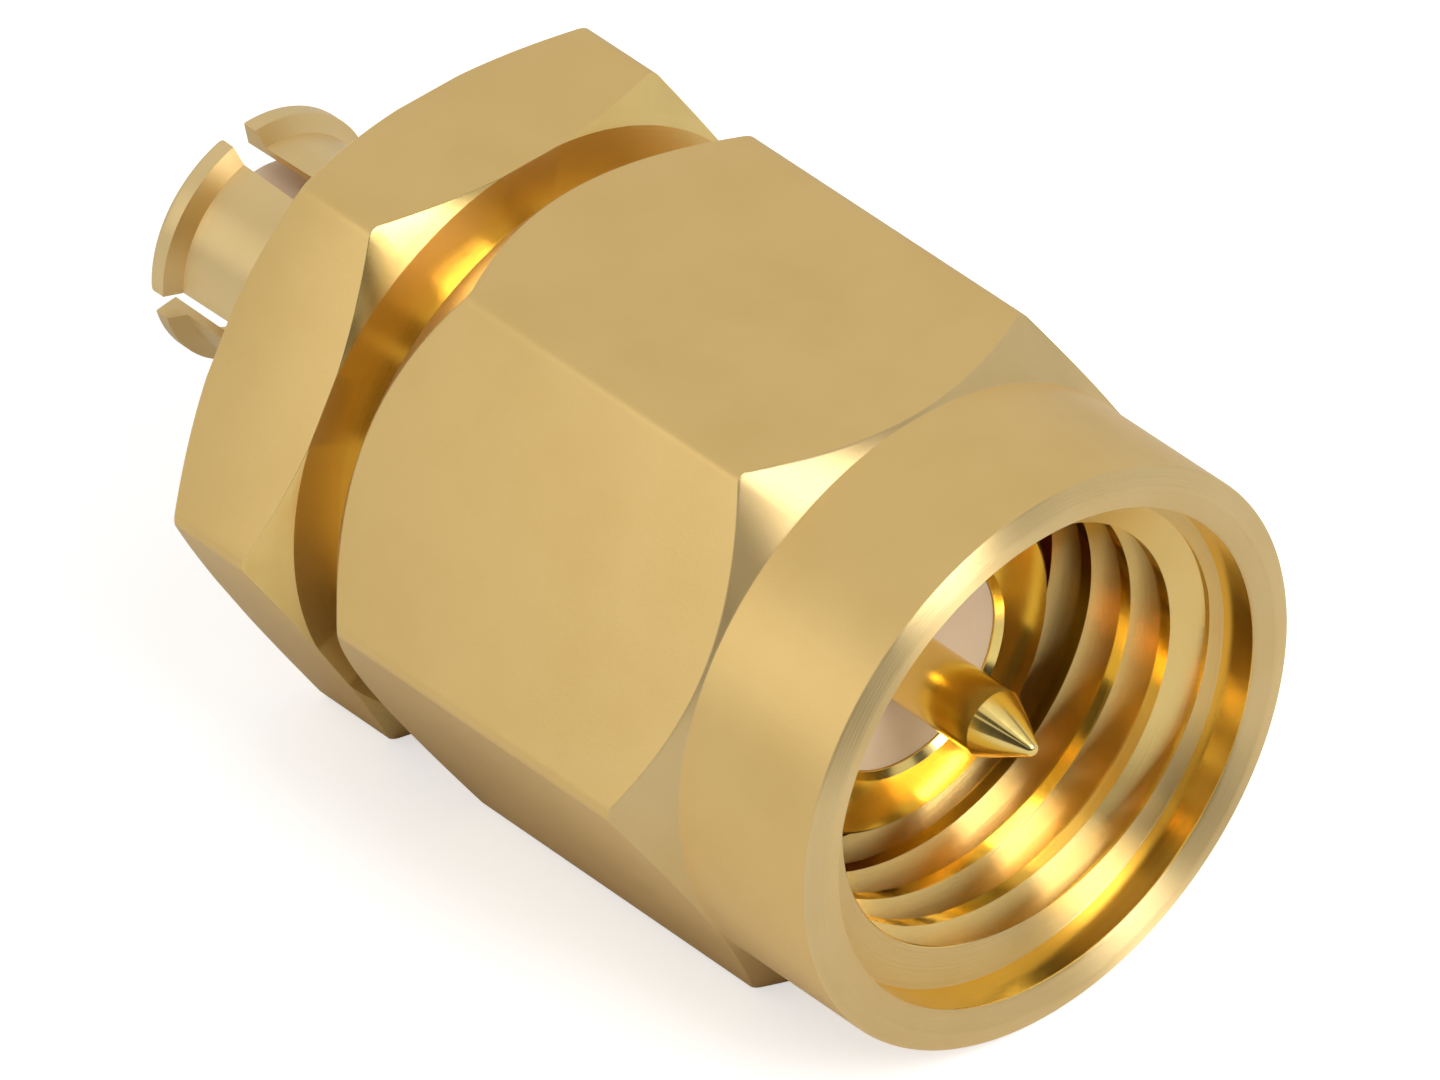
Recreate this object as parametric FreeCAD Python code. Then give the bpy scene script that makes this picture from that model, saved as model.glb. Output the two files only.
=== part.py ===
import FreeCAD, Part
import math
import os

# Coaxial adapter: threaded plug with a captive hexagon coupling nut at one end,
# slotted push-on jack at the other. Millimetres. The axis is X, the nut's mouth
# looks along +X, the body lies on a flat of its two hexagons and +Z is up.
# The origin is the centre of the plug's reference plane, the sleeve's front face.

V = FreeCAD.Vector
AXIS = V(1, 0, 0)
ORIGIN = V(0, 0, 0)

# Coupling nut, outside
nut_across_flats = 8.0
nut_edge_round = 0.20
nut_length = 8.57
mouth_reach = 2.54
collar_inset = 0.03
collar_length = 2.335
front_chamfer_angle = 45.0
rear_chamfer_angle = 41.5
rear_rim_inset = 0.025
mouth_ridge_inset = 0.27
mouth_ridge_height = 0.09

# Coupling nut, inside
mouth_wall = 0.57
mouth_bore_depth = 0.64
thread_ledge_width = 0.57
thread_length = 3.70
thread_entry_break = 0.10
relief_depth = 0.52
relief_overlap = 0.15
nut_rear_wall = 0.75

# Connector body
sleeve_gap = 0.534
sleeve_wall = 0.836
sleeve_outer_break = 0.06
sleeve_inner_break = 0.08
mate_reach = 2.10
nut_flange_gap = 0.74
journal_break = 0.12
flange_edge_round = 0.20
flange_length = 1.91
flange_rim_overhang = 0.025
flange_chamfer_angle = 30.0

# Retaining ring that keeps the nut on the body
ring_thickness = 0.50
ring_seat_depth = 0.30
ring_grip = 0.25
ring_gap_angle = 36.0
ring_edge_break = 0.05
ring_setback = 1.55
ring_side_clearance = 0.02
ring_root_clearance = 0.10
nut_end_play = 0.12
running_clearance = 0.05

# Sealing gasket at the foot of the sleeve
gasket_inset = 0.10
gasket_length = 0.85
gasket_edge_round = 0.10

# Front dielectric
front_dielectric_recess = 0.10
front_dielectric_length = 5.40

# Centre contact: plug pin, barbed shank and slotted socket in one turned piece
pin_radius = 0.4575
pin_reach = 2.24
pin_cone_length = 0.74
pin_nose_radius = 0.11
shank_radius = 0.485
barb_radius = 0.60
barb_length = 0.80
barb_setback = 2.20
socket_radius = 0.40
socket_recess = 0.10
socket_bore_radius = 0.20
socket_bore_depth = 1.90
socket_mouth_break = 0.07
socket_slot_width = 0.10
socket_slot_length = 1.50

# Push-on outer contact: pressed shank, spring fingers and locking lip
outer_shank_radius = 1.90
outer_shank_lead = 0.12
finger_outer_radius = 1.50
finger_inner_radius = 1.38
finger_reach = 3.47
finger_root_fillet = 0.15
lip_radius = 1.71
lip_length = 0.43
lip_ramp_length = 0.145
lip_nose_round = 0.11
finger_inner_break = 0.05
slot_width = 0.40
slot_length = 2.70
first_saw_turn = 10.0
second_saw_turn = 97.5

# Rear dielectric
rear_nose_radius = 1.06
rear_nose_recess = 0.22
rear_nose_setback = 0.20

# Radii of the nut, which follow its hexagon, and of what turns and passes inside it
collar_radius = nut_across_flats / 2 - collar_inset
rear_rim_radius = nut_across_flats / 2 - rear_rim_inset
mouth_ridge_radius = collar_radius - mouth_ridge_inset
mouth_bore_radius = collar_radius - mouth_wall
thread_minor_radius = mouth_bore_radius - thread_ledge_width
relief_radius = thread_minor_radius + relief_depth
nut_bore_radius = nut_across_flats / 2 - nut_rear_wall
journal_radius = nut_bore_radius - running_clearance
ring_inner_radius = journal_radius - ring_seat_depth
ring_outer_radius = nut_bore_radius + ring_grip
gasket_outer_radius = journal_radius - gasket_inset
sleeve_radius = thread_minor_radius - sleeve_gap
front_dielectric_radius = sleeve_radius - sleeve_wall
flange_across_flats = nut_across_flats
flange_rim_radius = flange_across_flats / 2 + flange_rim_overhang

# Stations along the axis
sleeve_foot_x = -(mate_reach + gasket_length)
mouth_x = mouth_reach
nut_rear_x = mouth_x - nut_length
flange_front_x = nut_rear_x - nut_flange_gap
flange_rear_x = flange_front_x - flange_length
collar_rear_x = mouth_x - collar_length
mouth_edge_x = mouth_x - mouth_ridge_height
ledge_x = mouth_x - mouth_bore_depth
thread_rear_x = ledge_x - thread_length
relief_rear_x = sleeve_foot_x - relief_overlap
ring_centre_x = sleeve_foot_x - ring_setback
dielectric_front_x = -front_dielectric_recess
dielectric_rear_x = dielectric_front_x - front_dielectric_length
finger_end_x = flange_rear_x - finger_reach


def turned(points):
    """Solid of revolution about the axis from (x, radius) points, or finished edges."""
    corners = [V(x, 0, r) for x, r in points]
    face = Part.Face(Part.makePolygon(corners + [corners[0]]))
    return face.revolve(ORIGIN, AXIS, 360)


def tube(x_low, x_high, radius):
    """Plain cylinder along the axis between two stations."""
    return Part.makeCylinder(radius, x_high - x_low, V(x_low, 0, 0), AXIS)


def hexagon_bar(x_low, x_high, across_flats, edge_round):
    """Hexagonal bar along the axis with a flat facing down and rounded long edges."""
    corner_radius = across_flats / math.sqrt(3)
    angles = [math.radians(60 * k) for k in range(7)]
    corners = [V(x_low, corner_radius * math.cos(a), corner_radius * math.sin(a)) for a in angles]
    bar = Part.Face(Part.makePolygon(corners)).extrude(V(x_high - x_low, 0, 0))
    long_edges = [e for e in bar.Edges if abs(e.tangentAt(e.FirstParameter).x) > 0.99]
    return bar.makeFillet(edge_round, long_edges)


def rise(run_radius, angle):
    """Axial length of a cone that climbs by run_radius at an angle from the axis."""
    return run_radius / math.tan(math.radians(angle))


def groove_half_width(play):
    """Half the width of a groove that holds the retaining ring with some end play."""
    return ring_thickness / 2 + ring_side_clearance + play


def make_coupling_nut():
    corner = nut_across_flats / math.sqrt(3)
    front_cone = rise(corner - collar_radius, front_chamfer_angle)
    rear_cone = rise(corner - rear_rim_radius, rear_chamfer_angle)
    envelope = turned([
        (nut_rear_x, 0),
        (nut_rear_x, rear_rim_radius),
        (nut_rear_x + rear_cone, corner),
        (collar_rear_x - front_cone, corner),
        (collar_rear_x, collar_radius),
        (collar_rear_x, 0),
    ])
    bar = hexagon_bar(nut_rear_x, collar_rear_x, nut_across_flats, nut_edge_round)
    collar = turned([
        (collar_rear_x, 0),
        (collar_rear_x, collar_radius),
        (mouth_edge_x, collar_radius),
        (mouth_x, mouth_ridge_radius),
        (mouth_x, 0),
    ])
    groove_low = ring_centre_x - groove_half_width(0)
    groove_high = ring_centre_x + groove_half_width(0)
    groove_radius = ring_outer_radius + ring_root_clearance
    cavity = turned([
        (nut_rear_x, 0),
        (nut_rear_x, nut_bore_radius),
        (groove_low, nut_bore_radius),
        (groove_low, groove_radius),
        (groove_high, groove_radius),
        (groove_high, nut_bore_radius),
        (relief_rear_x, nut_bore_radius),
        (relief_rear_x, relief_radius),
        (thread_rear_x, relief_radius),
        (thread_rear_x, thread_minor_radius),
        (ledge_x - thread_entry_break, thread_minor_radius),
        (ledge_x, thread_minor_radius + thread_entry_break),
        (ledge_x, mouth_bore_radius),
        (mouth_edge_x, mouth_bore_radius),
        (mouth_x, mouth_ridge_radius),
        (mouth_x, 0),
    ])
    return bar.common(envelope).fuse(collar).cut(cavity).removeSplitter()


def make_retaining_ring():
    low = ring_centre_x - ring_thickness / 2
    high = ring_centre_x + ring_thickness / 2
    b = ring_edge_break
    section = [
        V(low, 0, ring_inner_radius),
        V(low, 0, ring_outer_radius - b),
        V(low + b, 0, ring_outer_radius),
        V(high - b, 0, ring_outer_radius),
        V(high, 0, ring_outer_radius - b),
        V(high, 0, ring_inner_radius),
    ]
    face = Part.Face(Part.makePolygon(section + [section[0]]))
    face.rotate(ORIGIN, AXIS, 180 + ring_gap_angle / 2)
    return face.revolve(ORIGIN, AXIS, 360 - ring_gap_angle)


def make_main_body():
    corner = flange_across_flats / math.sqrt(3)
    cone = (corner - flange_rim_radius) * math.tan(math.radians(flange_chamfer_angle))
    envelope = turned([
        (flange_rear_x, 0),
        (flange_rear_x, flange_rim_radius),
        (flange_rear_x + cone, corner),
        (flange_front_x - cone, corner),
        (flange_front_x, flange_rim_radius),
        (flange_front_x, 0),
    ])
    flange = hexagon_bar(flange_rear_x, flange_front_x, flange_across_flats, flange_edge_round)
    flange = flange.common(envelope)
    groove_low = ring_centre_x - groove_half_width(nut_end_play)
    groove_high = ring_centre_x + groove_half_width(nut_end_play)
    groove_radius = ring_inner_radius - ring_root_clearance
    front = turned([
        (flange_front_x, 0),
        (flange_front_x, journal_radius),
        (groove_low, journal_radius),
        (groove_low, groove_radius),
        (groove_high, groove_radius),
        (groove_high, journal_radius),
        (sleeve_foot_x - journal_break, journal_radius),
        (sleeve_foot_x, journal_radius - journal_break),
        (sleeve_foot_x, sleeve_radius),
        (-sleeve_outer_break, sleeve_radius),
        (0, sleeve_radius - sleeve_outer_break),
        (0, 0),
    ])
    bore = turned([
        (flange_rear_x, 0),
        (flange_rear_x, outer_shank_radius),
        (dielectric_rear_x, outer_shank_radius),
        (dielectric_rear_x, front_dielectric_radius),
        (-sleeve_inner_break, front_dielectric_radius),
        (0, front_dielectric_radius + sleeve_inner_break),
        (0, 0),
    ])
    return flange.fuse(front).cut(bore).removeSplitter()


def make_gasket():
    ring = tube(sleeve_foot_x, sleeve_foot_x + gasket_length, gasket_outer_radius)
    ring = ring.cut(tube(sleeve_foot_x, sleeve_foot_x + gasket_length, sleeve_radius))
    rims = [e for e in ring.Edges if e.Curve.TypeId == "Part::GeomCircle"
            and e.Curve.Radius > gasket_outer_radius - 0.01
            and e.CenterOfMass.x > sleeve_foot_x + gasket_length / 2]
    return ring.makeFillet(gasket_edge_round, rims)


def barb_station(side):
    """Front (side 1) or rear (side 0) station of the barb on the centre contact."""
    return dielectric_front_x - barb_setback - barb_length * (1 - side)


def make_front_insulator():
    return turned([
        (dielectric_rear_x, shank_radius),
        (dielectric_rear_x, front_dielectric_radius),
        (dielectric_front_x, front_dielectric_radius),
        (dielectric_front_x, pin_radius),
        (dielectric_front_x - shank_lead(), shank_radius),
        (barb_station(1), shank_radius),
        (barb_station(0), barb_radius),
        (barb_station(0), shank_radius),
    ])


def shank_lead():
    """Length of the short cone between the pin and the thicker shank."""
    return 2 * (shank_radius - pin_radius)


def make_center_contact():
    socket_end = finger_end_x + socket_recess
    cone_foot_x = pin_reach - pin_cone_length
    nose_centre_x = pin_reach - pin_nose_radius
    slope = math.atan2(pin_radius - pin_nose_radius, nose_centre_x - cone_foot_x)
    join = V(nose_centre_x + pin_nose_radius * math.sin(slope), 0,
             pin_nose_radius * math.cos(slope))
    middle = V(nose_centre_x + pin_nose_radius * math.cos(slope / 2 - math.pi / 4), 0,
               -pin_nose_radius * math.sin(slope / 2 - math.pi / 4))
    tip = V(pin_reach, 0, 0)
    outline = [V(x, 0, r) for x, r in [
        (socket_end, 0),
        (socket_end, socket_radius),
        (dielectric_rear_x, socket_radius),
        (dielectric_rear_x, shank_radius),
        (barb_station(0), shank_radius),
        (barb_station(0), barb_radius),
        (barb_station(1), shank_radius),
        (dielectric_front_x - shank_lead(), shank_radius),
        (dielectric_front_x, pin_radius),
        (cone_foot_x, pin_radius),
    ]]
    edges = Part.makePolygon(outline + [join]).Edges
    edges.append(Part.Arc(join, middle, tip).toShape())
    edges.append(Part.makeLine(tip, outline[0]))
    contact = Part.Face(Part.Wire(edges)).revolve(ORIGIN, AXIS, 360)
    bore_end = socket_end + socket_bore_depth
    bore = turned([
        (socket_end, 0),
        (socket_end, socket_bore_radius + socket_mouth_break),
        (socket_end + socket_mouth_break, socket_bore_radius),
        (bore_end, socket_bore_radius),
        (bore_end + socket_bore_radius, 0),
    ])
    slot = Part.makeBox(socket_slot_length, 2 * socket_radius, socket_slot_width,
                        V(socket_end, -socket_radius, -socket_slot_width / 2))
    return contact.cut(bore).cut(slot)


def make_rear_insulator():
    nose_end = finger_end_x + rear_nose_recess
    nose_root = flange_rear_x - rear_nose_setback
    return turned([
        (nose_end, socket_radius),
        (nose_end, rear_nose_radius),
        (nose_root, rear_nose_radius),
        (nose_root, finger_inner_radius),
        (dielectric_rear_x, finger_inner_radius),
        (dielectric_rear_x, socket_radius),
    ])


def make_saw_cut(turn):
    """Volume of one saw cut across the fingers, which opens two opposite slots."""
    foot_x = finger_end_x + slot_length - slot_width / 2
    blade = Part.makeBox(foot_x - finger_end_x, slot_width, 4 * lip_radius,
                         V(finger_end_x, -slot_width / 2, -2 * lip_radius))
    foot = Part.makeCylinder(slot_width / 2, 4 * lip_radius, V(foot_x, 0, -2 * lip_radius), V(0, 0, 1))
    cut = blade.fuse(foot)
    cut.rotate(ORIGIN, AXIS, turn)
    return cut


def make_smp_outer_contact():
    lip_root = finger_end_x + lip_length
    blank = turned([
        (finger_end_x, finger_inner_radius + finger_inner_break),
        (finger_end_x, lip_radius - lip_nose_round),
        (finger_end_x + lip_nose_round, lip_radius),
        (lip_root - lip_ramp_length, lip_radius),
        (lip_root, finger_outer_radius),
        (flange_rear_x - finger_root_fillet, finger_outer_radius),
        (flange_rear_x, finger_outer_radius + finger_root_fillet),
        (flange_rear_x, outer_shank_radius),
        (dielectric_rear_x - outer_shank_lead, outer_shank_radius),
        (dielectric_rear_x, outer_shank_radius - outer_shank_lead),
        (dielectric_rear_x, finger_inner_radius),
        (finger_end_x + finger_inner_break, finger_inner_radius),
    ])
    for turn in (first_saw_turn, second_saw_turn):
        blank = blank.cut(make_saw_cut(turn))
    return blank


def main():
    os.makedirs("parts", exist_ok=True)
    pieces = {
        "coupling_nut": make_coupling_nut(),
        "retaining_ring": make_retaining_ring(),
        "main_body": make_main_body(),
        "gasket": make_gasket(),
        "front_insulator": make_front_insulator(),
        "center_contact": make_center_contact(),
        "rear_insulator": make_rear_insulator(),
        "smp_outer_contact": make_smp_outer_contact(),
    }
    for name, shape in pieces.items():
        solid = shape.Solids[0] if len(shape.Solids) == 1 else shape
        box = solid.BoundBox
        print(name, len(shape.Solids), shape.isValid(), round(solid.Volume, 4),
              [round(v, 3) for v in (box.XMin, box.XMax, box.YMin, box.YMax, box.ZMin, box.ZMax)])
        solid.exportStep("parts/" + name + ".step")


main()
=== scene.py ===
"""Looks of a gold-plated coaxial adapter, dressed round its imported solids.

The adapter has a threaded plug with a captive hexagon coupling nut at one end and a small
slotted push-on jack at the other. Pieces are turned and milled in millimetres on the X axis
and brought to metres when they are finished. The sleeve's front face is at x = 0, the nut's
mouth looks along +X and the adapter lies on a flat of its two hexagons.
"""

import logging
import math
from abc import ABC, abstractmethod
from contextlib import contextmanager
from dataclasses import dataclass
from enum import Enum
from typing import Callable, Iterator, Sequence

import bmesh
import bpy
from mathutils import Matrix, Vector

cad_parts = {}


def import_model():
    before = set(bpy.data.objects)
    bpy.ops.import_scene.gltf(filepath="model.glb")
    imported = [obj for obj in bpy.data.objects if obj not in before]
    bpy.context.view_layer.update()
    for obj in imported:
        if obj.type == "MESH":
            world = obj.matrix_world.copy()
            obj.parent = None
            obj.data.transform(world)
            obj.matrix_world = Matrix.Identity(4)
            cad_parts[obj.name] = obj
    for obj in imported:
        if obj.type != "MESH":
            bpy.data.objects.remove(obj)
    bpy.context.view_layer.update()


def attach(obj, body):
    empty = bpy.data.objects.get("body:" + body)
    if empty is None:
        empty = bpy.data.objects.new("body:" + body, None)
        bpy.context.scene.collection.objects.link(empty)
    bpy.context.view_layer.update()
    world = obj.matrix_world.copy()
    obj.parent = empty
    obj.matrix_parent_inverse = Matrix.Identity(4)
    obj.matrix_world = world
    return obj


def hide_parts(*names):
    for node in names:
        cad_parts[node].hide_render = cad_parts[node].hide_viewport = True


LOG = logging.getLogger("adapter")

MM = 0.001
PHOTO_WIDTH = 1440
SIDES = 6

# Millimetres: points this close are one, edges this close to a size lie on it, and cutting
# tools reach this far past the piece
WELD = 1e-4
NEAR = 0.02
PAST = 0.5

# Edges that turn by less look smooth, and round corners that turn by more are broken
SMOOTH_DEGREES = 28.0
CORNER_ANGLE = math.radians(25)

# Sockets of a Mix node that mixes colours or numbers
COLOUR_A, COLOUR_B, COLOUR_OUT = 6, 7, 2
NUMBER_A, NUMBER_B, NUMBER_OUT = 2, 3, 0

# The tool's rings: how they drift round the piece, the noise that cuts them and the span of it
# that shows as streaks, then the span of noise that shows as clouds in the plating
DRIFT_SCALE, DRIFT_DETAIL = 900.0, 1.0
CUT_DETAIL, CUT_ROUGHNESS = 3.0, 0.65
STREAK_SPAN = (0.35, 0.65)
CLOUD_SPAN = (0.3, 0.6)

# Quarter turn that stretches a turned surface's gloss across its rings, and how far red,
# green and blue light reach into a dull surface, in millimetres
GLOSS_TURN = 0.25
LIGHT_REACH = (0.6, 0.5, 0.4)

# Facets across a small break
BREAK_FACETS = 2

Piece = bpy.types.Object
Material = bpy.types.Material
Tree = bpy.types.NodeTree
Node = bpy.types.Node
Socket = bpy.types.NodeSocket
Face = bmesh.types.BMFace
Edge = bmesh.types.BMEdge
EdgePick = Callable[[Edge], bool]
Station = tuple[float, float]
Tone = tuple[float, float, float]


# The bench: how pieces are turned, milled, threaded and finished


def deselect_all() -> None:
    bpy.ops.object.select_all(action="DESELECT")


def make_active(piece: Piece) -> None:
    """Select one object alone and make it active.

    Args:
        piece: the object to work on.
    """
    deselect_all()
    piece.select_set(True)
    bpy.context.view_layer.objects.active = piece


@contextmanager
def edit_mode(piece: Piece) -> Iterator[None]:
    """Work on one object in edit mode and come back to object mode.

    Args:
        piece: the object to edit.

    Yields:
        Nothing: the mode is what counts.
    """
    make_active(piece)
    bpy.ops.object.mode_set(mode="EDIT")
    try:
        yield
    finally:
        bpy.ops.object.mode_set(mode="OBJECT")


def close_openings(bridge: bool) -> None:
    """Close the open loops of the mesh in edit mode and turn its faces outwards.

    Args:
        bridge: True joins two loops by a ring of faces, False caps each one.
    """
    bpy.ops.mesh.select_mode(type="EDGE")
    bpy.ops.mesh.select_all(action="DESELECT")
    bpy.ops.mesh.select_non_manifold()
    if bridge:
        bpy.ops.mesh.bridge_edge_loops()
    else:
        bpy.ops.mesh.fill_holes(sides=0)
    bpy.ops.mesh.select_all(action="SELECT")
    bpy.ops.mesh.normals_make_consistent(inside=False)


def turn(name: str, stations: Sequence[Station], segments: int, bored: bool = True) -> Piece:
    """Turn a round piece from the corners of its half section.

    Args:
        name: the object's name.
        stations: (x, radius) corners in millimetres, in order along the section.
        segments: facets round the axis.
        bored: True joins the last corner to the first round a hole, False caps both ends.

    Returns:
        The turned object, in millimetres.
    """
    first_x, first_radius = stations[0]
    deselect_all()
    bpy.ops.mesh.primitive_circle_add(
        vertices=segments, radius=first_radius, fill_type="NOTHING",
        location=(first_x, 0, 0), rotation=(0, math.pi / 2, 0),
    )
    piece = bpy.context.object
    piece.name = name
    piece.data.name = name
    bpy.ops.object.transform_apply(location=True, rotation=True, scale=True)
    with edit_mode(piece):
        bpy.ops.mesh.select_all(action="SELECT")
        for (x_from, r_from), (x_to, r_to) in zip(stations, stations[1:]):
            bpy.ops.mesh.extrude_edges_move(TRANSFORM_OT_translate={"value": (x_to - x_from, 0, 0)})
            growth = r_to / r_from
            bpy.ops.transform.resize(value=(1, growth, growth), center_override=(x_to, 0, 0))
        close_openings(bridge=bored)
    return piece


def bevel_edges(piece: Piece, pick: EdgePick, width: float, segments: int) -> None:
    """Break the picked edges.

    Args:
        piece: the object, in millimetres.
        pick: says which edges are broken.
        width: how far the break reaches from the edge, in millimetres.
        segments: facets across the break.
    """
    with edit_mode(piece):
        bpy.ops.mesh.select_mode(type="EDGE")
        bpy.ops.mesh.select_all(action="DESELECT")
        mesh = bmesh.from_edit_mesh(piece.data)
        mesh.normal_update()
        picked = [e for e in mesh.edges if len(e.link_faces) == 2 and pick(e)]
        for edge in picked:
            edge.select = True
        mesh.select_flush_mode()
        bmesh.update_edit_mesh(piece.data)
        if picked:
            bpy.ops.mesh.bevel(offset=width, segments=segments, affect="EDGES", clamp_overlap=True)


def edge_radius(edge: Edge) -> float:
    """Distance of an edge's middle from the X axis."""
    middle = (edge.verts[0].co + edge.verts[1].co) / 2
    return math.hypot(middle.y, middle.z)


def edge_x(edge: Edge) -> float:
    """Station of an edge's middle."""
    return (edge.verts[0].co.x + edge.verts[1].co.x) / 2


def edge_run(edge: Edge) -> float:
    """How far an edge runs along the X axis."""
    return abs(edge.verts[0].co.x - edge.verts[1].co.x)


def round_corners(beyond_radius: float = 0.0, beyond_x: float = -math.inf) -> EdgePick:
    """Pick the corners round the axis that turn enough to be broken.

    Args:
        beyond_radius: picked corners lie farther out than this, in millimetres.
        beyond_x: picked corners lie in front of this station.

    Returns:
        The test of an edge.
    """

    def pick(edge: Edge) -> bool:
        """Say whether an edge is such a corner."""
        turned = edge_run(edge) < WELD and edge.calc_face_angle(0.0) > CORNER_ANGLE
        return turned and edge_radius(edge) > beyond_radius and edge_x(edge) > beyond_x

    return pick


def face_place(face: Face) -> Station:
    """Station and radius of the middle of a finished face, in millimetres."""
    middle = face.calc_center_median() / MM
    return middle.x, math.hypot(middle.y, middle.z)


def quarter_turn(steps: int) -> list[float]:
    """Angles from 0 to a right angle in even steps."""
    return [math.pi / 2 * k / steps for k in range(steps + 1)]


def combine(piece: Piece, tool: Piece, operation: str = "DIFFERENCE") -> None:
    """Cut a tool's volume out of a piece, or weld it on, and put the tool away.

    Args:
        piece: the object that is kept.
        tool: the closed object that is used up.
        operation: DIFFERENCE, UNION or INTERSECT.
    """
    make_active(piece)
    cut = piece.modifiers.new("cut", "BOOLEAN")
    cut.operation = operation
    cut.solver = "EXACT"
    cut.object = tool
    bpy.ops.object.modifier_apply(modifier=cut.name)
    bpy.data.objects.remove(tool)


def block(low: Sequence[float], high: Sequence[float]) -> Piece:
    """Rectangular tool between two corners, in millimetres.

    Args:
        low: the lowest corner.
        high: the highest corner.

    Returns:
        The block.
    """
    deselect_all()
    centre = [(a + b) / 2 for a, b in zip(low, high)]
    bpy.ops.mesh.primitive_cube_add(size=1, location=centre)
    tool = bpy.context.object
    tool.scale = [b - a for a, b in zip(low, high)]
    bpy.ops.object.transform_apply(location=True, rotation=True, scale=True)
    return tool


def helix_tool(section: Sequence[Station], pitch: float, turns: int, steps: int) -> Piece:
    """Sweep a closed thread section along a right-handed helix about the X axis.

    Args:
        section: (x, radius) corners of the groove's section, in millimetres.
        pitch: advance for each turn.
        turns: whole turns.
        steps: facets in a turn.

    Returns:
        The closed helical tool.
    """
    deselect_all()
    bpy.ops.mesh.primitive_circle_add(vertices=len(section), radius=1, fill_type="NOTHING")
    tool = bpy.context.object
    for vertex, (x, radius) in zip(tool.data.vertices, section):
        vertex.co = (x, 0.0, radius)
    sweep = tool.modifiers.new("sweep", "SCREW")
    sweep.axis = "X"
    sweep.angle = math.tau
    sweep.screw_offset = pitch
    sweep.iterations = turns
    sweep.steps = steps
    sweep.use_merge_vertices = False
    make_active(tool)
    bpy.ops.object.modifier_apply(modifier=sweep.name)
    with edit_mode(tool):
        close_openings(bridge=False)
    return tool


def finish_piece(piece: Piece, smooth_degrees: float = SMOOTH_DEGREES) -> None:
    """Clean a piece, bring it from millimetres to metres and smooth its gentler edges.

    Args:
        piece: the object, in millimetres.
        smooth_degrees: edges that turn by less look smooth.
    """
    with edit_mode(piece):
        bpy.ops.mesh.select_all(action="SELECT")
        bpy.ops.mesh.remove_doubles(threshold=WELD)
        bpy.ops.mesh.dissolve_degenerate(threshold=WELD)
    make_active(piece)
    piece.scale = (MM, MM, MM)
    bpy.ops.object.transform_apply(location=True, rotation=True, scale=True)
    bpy.ops.object.shade_smooth_by_angle(angle=math.radians(smooth_degrees))


# Finishes: shared effects as node groups, and one class for each surface


def new_group(name: str, inputs: dict[str, tuple[str, float | None]],
              outputs: dict[str, str]) -> Tree:
    """Start a shader node group with named sockets.

    Args:
        name: the group's name.
        inputs: socket name to (socket type, default value or None).
        outputs: socket name to socket type.

    Returns:
        The group, with its input and output nodes named "in" and "out".
    """
    group = bpy.data.node_groups.new(name, "ShaderNodeTree")
    for socket_name, (kind, default) in inputs.items():
        socket = group.interface.new_socket(name=socket_name, in_out="INPUT", socket_type=kind)
        if default is not None:
            socket.default_value = default
    for socket_name, kind in outputs.items():
        group.interface.new_socket(name=socket_name, in_out="OUTPUT", socket_type=kind)
    group.nodes.new("NodeGroupInput").name = "in"
    group.nodes.new("NodeGroupOutput").name = "out"
    return group


def feed(tree: Tree, value: object, socket: Socket) -> None:
    """Give a socket a number, or link it to another socket.

    Args:
        tree: the tree that both sockets are in.
        value: a number or an output socket.
        socket: the input that takes it.
    """
    if isinstance(value, Socket):
        tree.links.new(value, socket)
    else:
        socket.default_value = value


def math_node(tree: Tree, operation: str, *values: object) -> Socket:
    """Add a Math node whose inputs are numbers or sockets.

    Args:
        tree: the tree it goes in.
        operation: the node's operation.
        values: a number or an output socket for each input.

    Returns:
        The node's output socket.
    """
    node = tree.nodes.new("ShaderNodeMath")
    node.operation = operation
    for socket, value in zip(node.inputs, values):
        feed(tree, value, socket)
    return node.outputs[0]


def range_node(tree: Tree, value: Socket, start: float, end: float,
               low: float = 0.0, high: float = 1.0, kind: str = "LINEAR") -> Socket:
    """Bring a value's span from start to end to the span from low to high.

    Args:
        tree: the tree it goes in.
        value: the value.
        start: the value that becomes low.
        end: the value that becomes high.
        low: the result at start.
        high: the result at end.
        kind: the node's interpolation.

    Returns:
        The result's socket.
    """
    node = tree.nodes.new("ShaderNodeMapRange")
    node.interpolation_type = kind
    for name, number in zip(("From Min", "From Max", "To Min", "To Max"), (start, end, low, high)):
        node.inputs[name].default_value = number
    tree.links.new(value, node.inputs["Value"])
    return node.outputs["Result"]


def noise_node(tree: Tree, place: Socket, scale: object, detail: float) -> Socket:
    """Add a Noise node.

    Args:
        tree: the tree it goes in.
        place: the point where the noise is taken.
        scale: a number or a socket, in waves to a metre.
        detail: octaves of finer noise.

    Returns:
        The noise's socket.
    """
    node = tree.nodes.new("ShaderNodeTexNoise")
    node.inputs["Detail"].default_value = detail
    tree.links.new(place, node.inputs["Vector"])
    feed(tree, scale, node.inputs["Scale"])
    return node.outputs["Fac"]


def tone_node(tree: Tree, factor: Socket, deep_tone: Tone, tone: Tone) -> Socket:
    """Mix a deep tone with a lighter one.

    Args:
        tree: the tree it goes in.
        factor: 0 gives the deep tone and 1 the lighter one.
        deep_tone: the deep tone.
        tone: the lighter tone.

    Returns:
        The mixed colour's socket.
    """
    node = tree.nodes.new("ShaderNodeMix")
    node.data_type = "RGBA"
    node.inputs[COLOUR_A].default_value = (*deep_tone, 1)
    node.inputs[COLOUR_B].default_value = (*tone, 1)
    tree.links.new(factor, node.inputs[0])
    return node.outputs[COLOUR_OUT]


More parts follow.
